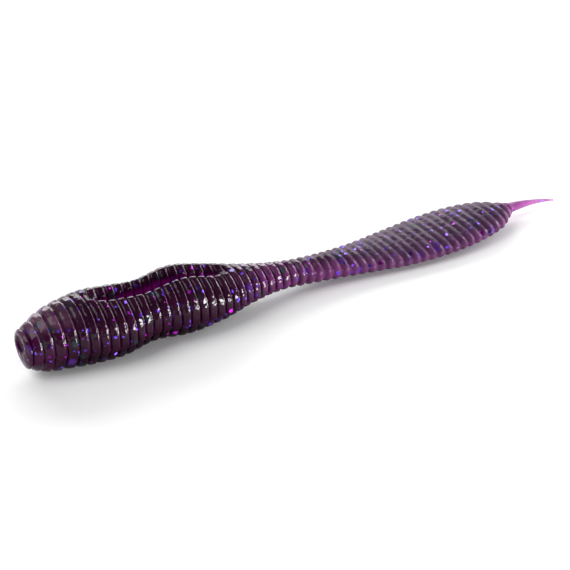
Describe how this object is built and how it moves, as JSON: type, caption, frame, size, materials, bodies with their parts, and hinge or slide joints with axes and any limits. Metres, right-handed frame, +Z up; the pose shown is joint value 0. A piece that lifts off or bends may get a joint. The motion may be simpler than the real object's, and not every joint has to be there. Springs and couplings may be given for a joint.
{
  "type": "soft plastic worm",
  "caption": "Ribbed soft plastic fishing worm with a dimpled nose, a hook slot along its back and a flat blade tail; it bends both ways along its whole length.",
  "frame": {"origin": "middle of the worm's box, on the plane it lies on", "axes": "+X from the nose towards the tail, +Z up from the belly to the hook slot, +Y across"},
  "size_m": [0.1016, 0.0122, 0.0107],
  "materials": {
    "nose_plastic": "glossy translucent magenta-plum soft plastic",
    "body_plastic": "glossy translucent dark plum soft plastic with glitter flakes",
    "waist_plastic": "glossy translucent plum soft plastic with glitter flakes",
    "blade_plastic": "glossy translucent grey-mauve soft plastic, pinker where it is thin",
    "tip_plastic": "thin glossy translucent orchid-pink soft plastic",
    "glitter_violet": "violet-blue metallised film flake",
    "glitter_magenta": "magenta metallised film flake",
    "glitter_green": "dark green metallised film flake"
  },
  "bodies": {
    "nose": {"nose": "nose_plastic"},
    "body_segment_1": {"body_segment_1": "body_plastic"},
    "body_segment_2": {"body_segment_2": "body_plastic"},
    "body_segment_3": {"body_segment_3": "body_plastic"},
    "body_segment_4": {"body_segment_4": "body_plastic"},
    "body_segment_5": {"body_segment_5": "body_plastic"},
    "body_segment_6": {"body_segment_6": "body_plastic"},
    "body_segment_7": {"body_segment_7": "body_plastic"},
    "waist_segment_1": {"waist_segment_1": "waist_plastic"},
    "waist_segment_2": {"waist_segment_2": "waist_plastic"},
    "waist_segment_3": {"waist_segment_3": "waist_plastic"},
    "tail_segment_1": {"tail_segment_1": "blade_plastic"},
    "tail_segment_2": {"tail_segment_2": "blade_plastic"},
    "tail_segment_3": {"tail_segment_3": "blade_plastic"},
    "tail_segment_4": {"tail_segment_4": "blade_plastic"},
    "tail_segment_5": {"tail_segment_5": "blade_plastic"},
    "tail_segment_6": {"tail_segment_6": "blade_plastic"},
    "tail_segment_7": {"tail_segment_7": "blade_plastic"},
    "tail_segment_8": {"tail_segment_8": "blade_plastic"},
    "tail_tip": {"tail_tip": "tip_plastic"}
  },
  "joints": [
    {"name": "flex_01_side", "type": "hinge", "parent": "nose", "child": "body_segment_1", "pos_m": [-0.04688, 0, 0.00495], "axis": [0, 0, 1], "range_deg": [-16, 16], "stiffness_Nm_per_rad": 0.012},
    {"name": "flex_02_lift", "type": "hinge", "parent": "body_segment_1", "child": "body_segment_2", "pos_m": [-0.04163, 0, 0.00495], "axis": [0, 1, 0], "range_deg": [-16, 16], "stiffness_Nm_per_rad": 0.012},
    {"name": "flex_03_side", "type": "hinge", "parent": "body_segment_2", "child": "body_segment_3", "pos_m": [-0.03698, 0, 0.00495], "axis": [0, 0, 1], "range_deg": [-16, 16], "stiffness_Nm_per_rad": 0.012},
    {"name": "flex_04_lift", "type": "hinge", "parent": "body_segment_3", "child": "body_segment_4", "pos_m": [-0.03232, 0, 0.00495], "axis": [0, 1, 0], "range_deg": [-16, 16], "stiffness_Nm_per_rad": 0.012},
    {"name": "flex_05_side", "type": "hinge", "parent": "body_segment_4", "child": "body_segment_5", "pos_m": [-0.02768, 0, 0.00493], "axis": [0, 0, 1], "range_deg": [-16, 16], "stiffness_Nm_per_rad": 0.012},
    {"name": "flex_06_lift", "type": "hinge", "parent": "body_segment_5", "child": "body_segment_6", "pos_m": [-0.02303, 0, 0.00476], "axis": [0, 1, 0], "range_deg": [-16, 16], "stiffness_Nm_per_rad": 0.012},
    {"name": "flex_07_side", "type": "hinge", "parent": "body_segment_6", "child": "body_segment_7", "pos_m": [-0.01837, 0, 0.00445], "axis": [0, 0, 1], "range_deg": [-16, 16], "stiffness_Nm_per_rad": 0.012},
    {"name": "flex_08_lift", "type": "hinge", "parent": "body_segment_7", "child": "waist_segment_1", "pos_m": [-0.01372, 0, 0.00405], "axis": [0, 1, 0], "range_deg": [-24, 24], "stiffness_Nm_per_rad": 0.0024},
    {"name": "flex_09_side", "type": "hinge", "parent": "waist_segment_1", "child": "waist_segment_2", "pos_m": [-0.00907, 0, 0.00358], "axis": [0, 0, 1], "range_deg": [-24, 24], "stiffness_Nm_per_rad": 0.0024},
    {"name": "flex_10_lift", "type": "hinge", "parent": "waist_segment_2", "child": "waist_segment_3", "pos_m": [-0.00443, 0, 0.00309], "axis": [0, 1, 0], "range_deg": [-24, 24], "stiffness_Nm_per_rad": 0.0024},
    {"name": "flex_11_side", "type": "hinge", "parent": "waist_segment_3", "child": "tail_segment_1", "pos_m": [0.00022, 0, 0.0026], "axis": [0, 0, 1], "range_deg": [-8, 8], "stiffness_Nm_per_rad": 0.008},
    {"name": "flex_12_lift", "type": "hinge", "parent": "tail_segment_1", "child": "tail_segment_2", "pos_m": [0.00487, 0, 0.00215], "axis": [0, 1, 0], "range_deg": [-26, 26], "stiffness_Nm_per_rad": 0.0012},
    {"name": "flex_13_lift", "type": "hinge", "parent": "tail_segment_2", "child": "tail_segment_3", "pos_m": [0.00953, 0, 0.00177], "axis": [0, 1, 0], "range_deg": [-26, 26], "stiffness_Nm_per_rad": 0.0012},
    {"name": "flex_14_side", "type": "hinge", "parent": "tail_segment_3", "child": "tail_segment_4", "pos_m": [0.01418, 0, 0.00151], "axis": [0, 0, 1], "range_deg": [-8, 8], "stiffness_Nm_per_rad": 0.008},
    {"name": "flex_15_lift", "type": "hinge", "parent": "tail_segment_4", "child": "tail_segment_5", "pos_m": [0.01883, 0, 0.00141], "axis": [0, 1, 0], "range_deg": [-26, 26], "stiffness_Nm_per_rad": 0.0012},
    {"name": "flex_16_lift", "type": "hinge", "parent": "tail_segment_5", "child": "tail_segment_6", "pos_m": [0.02347, 0, 0.00151], "axis": [0, 1, 0], "range_deg": [-26, 26], "stiffness_Nm_per_rad": 0.0012},
    {"name": "flex_17_side", "type": "hinge", "parent": "tail_segment_6", "child": "tail_segment_7", "pos_m": [0.02813, 0, 0.00168], "axis": [0, 0, 1], "range_deg": [-8, 8], "stiffness_Nm_per_rad": 0.008},
    {"name": "flex_18_lift", "type": "hinge", "parent": "tail_segment_7", "child": "tail_segment_8", "pos_m": [0.03277, 0, 0.00186], "axis": [0, 1, 0], "range_deg": [-26, 26], "stiffness_Nm_per_rad": 0.0012},
    {"name": "flex_19_lift", "type": "hinge", "parent": "tail_segment_8", "child": "tail_tip", "pos_m": [0.03742, 0, 0.00201], "axis": [0, 1, 0], "range_deg": [-30, 30], "stiffness_Nm_per_rad": 0.0003}
  ]
}
